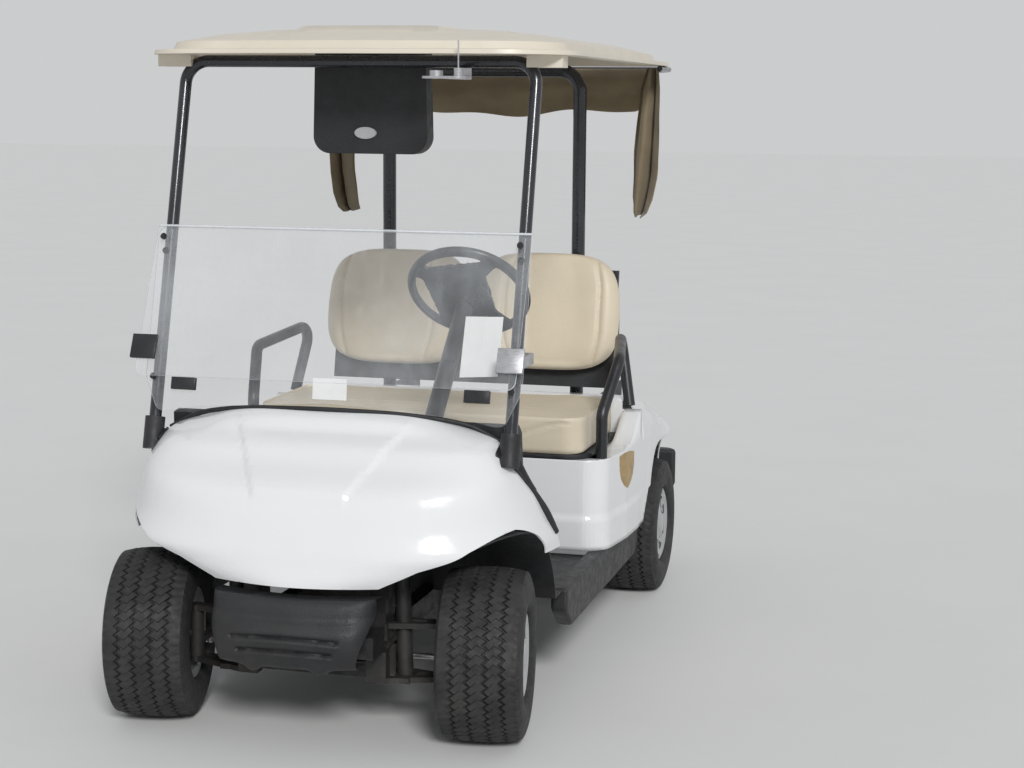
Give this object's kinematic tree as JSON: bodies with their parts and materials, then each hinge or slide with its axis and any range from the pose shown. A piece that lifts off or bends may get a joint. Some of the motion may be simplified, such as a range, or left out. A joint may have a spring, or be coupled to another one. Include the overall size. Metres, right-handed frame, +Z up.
{
  "type": "golf cart",
  "caption": "Golf cart with a white moulded body, cream roof, folded clear windscreen, beige bench seat, black bumper and a bag well with a folded fabric cover.",
  "frame": {"origin": "on the ground under the middle of the cart's overall length and width", "axes": "+X to the driver's side, +Y to the rear (the cart faces -Y), +Z up"},
  "size_m": [1.198, 2.385, 1.79],
  "materials": {
    "white_shell": "gloss",
    "cream_roof": "satin",
    "black_plastic": "matte grained",
    "black_metal": "gloss",
    "frame_metal": "satin",
    "iron": "rough",
    "steel": "bare",
    "clear_sheet": "clear",
    "vinyl": "soft vinyl",
    "canvas": "woven",
    "tyre": "matte",
    "silver_wheel": "satin silver",
    "silver_cover": "satin silver",
    "rubber": "matte",
    "antenna_metal": "satin"
  },
  "bodies": {
    "cart": {"antenna": "antenna_metal", "bag_cover": "canvas", "bag_rack": "black_metal", "bag_well": "black_plastic", "chassis_frame": "frame_metal", "cover_hoop": "black_metal", "dash": "black_plastic", "display_housing": "black_plastic", "engine_block": "iron", "floor_pan": "black_plastic", "front_bumper": "black_plastic", "front_cowl": "white_shell", "front_liner": "black_plastic", "front_posts": "black_metal", "front_suspension": "frame_metal", "hip_restraints": "black_plastic", "pedals": "black_metal", "post_boots": "rubber", "rear_axle": "iron", "rear_body": "white_shell", "rear_bumper": "black_plastic", "rear_posts": "black_metal", "rear_suspension": "frame_metal", "roof": "cream_roof", "roof_brackets": "cream_roof", "seat_back_left": "vinyl", "seat_back_right": "vinyl", "seat_back_support": "black_plastic", "seat_trim": "black_plastic", "sills": "black_plastic", "steering_column": "black_metal", "sweater_basket": "black_plastic", "windshield_fittings": "black_plastic", "windshield_lower": "clear_sheet", "windshield_upper": "clear_sheet"},
    "front_left_wheel": {"tyre_front_left": "tyre", "wheel_front_left": "silver_wheel", "wheel_cover_front_left": "silver_cover"},
    "front_right_wheel": {"tyre_front_right": "tyre", "wheel_front_right": "silver_wheel", "wheel_cover_front_right": "silver_cover"},
    "rear_left_wheel": {"tyre_rear_left": "tyre", "wheel_rear_left": "silver_wheel", "wheel_cover_rear_left": "silver_cover"},
    "rear_right_wheel": {"tyre_rear_right": "tyre", "wheel_rear_right": "silver_wheel", "wheel_cover_rear_right": "silver_cover"},
    "left_knuckle": {"knuckle_left": "iron"},
    "right_knuckle": {"knuckle_right": "iron"},
    "track_rod": {"tie_rod": "steel"},
    "hand_wheel": {"steering_wheel": "black_plastic"},
    "bench": {"seat_cushion": "vinyl"}
  },
  "joints": [
    {"name": "steer_left", "type": "hinge", "parent": "cart", "child": "left_knuckle", "pos_m": [0.3425, -0.9105, 0.22], "axis": [0, 0, 1], "range_deg": [-38, 22]},
    {"name": "steer_right", "type": "hinge", "parent": "cart", "child": "right_knuckle", "pos_m": [-0.3425, -0.9105, 0.22], "axis": [0, 0, 1], "range_deg": [-38.5, 22.5]},
    {"name": "tie_rod_slide", "type": "slide", "parent": "cart", "child": "track_rod", "axis": [1, 0, 0], "range_m": [-0.0262, 0.0445]},
    {"name": "steering_wheel_turn", "type": "hinge", "parent": "cart", "child": "hand_wheel", "pos_m": [0.235, -0.3635, 1.079], "axis": [0, 0.7431, 0.6691], "range_deg": [-343, 199]},
    {"name": "front_left_spin", "type": "hinge", "parent": "left_knuckle", "child": "front_left_wheel", "pos_m": [0.43657, -0.89728, 0.22], "axis": [0.9903, 0.1392, 0], "continuous": true},
    {"name": "front_right_spin", "type": "hinge", "parent": "right_knuckle", "child": "front_right_wheel", "pos_m": [-0.43576, -0.92863, 0.22], "axis": [0.9816, 0.1908, 0], "continuous": true},
    {"name": "rear_left_spin", "type": "hinge", "parent": "cart", "child": "rear_left_wheel", "pos_m": [0.49, 0.7495, 0.22], "axis": [1, 0, 0], "continuous": true},
    {"name": "rear_right_spin", "type": "hinge", "parent": "cart", "child": "rear_right_wheel", "pos_m": [-0.49, 0.7495, 0.22], "axis": [1, 0, 0], "continuous": true},
    {"name": "seat_lift", "type": "hinge", "parent": "cart", "child": "bench", "pos_m": [0, 0.3495, 0.672], "axis": [-1, 0, 0], "range_deg": [0, 55]}
  ],
  "couplings": [
    {"joint": "steer_right", "follows": "steer_left", "ratio": 1},
    {"joint": "tie_rod_slide", "follows": "steer_left", "m_per_rad": -0.0665},
    {"joint": "steering_wheel_turn", "follows": "steer_left", "ratio": 9}
  ]
}
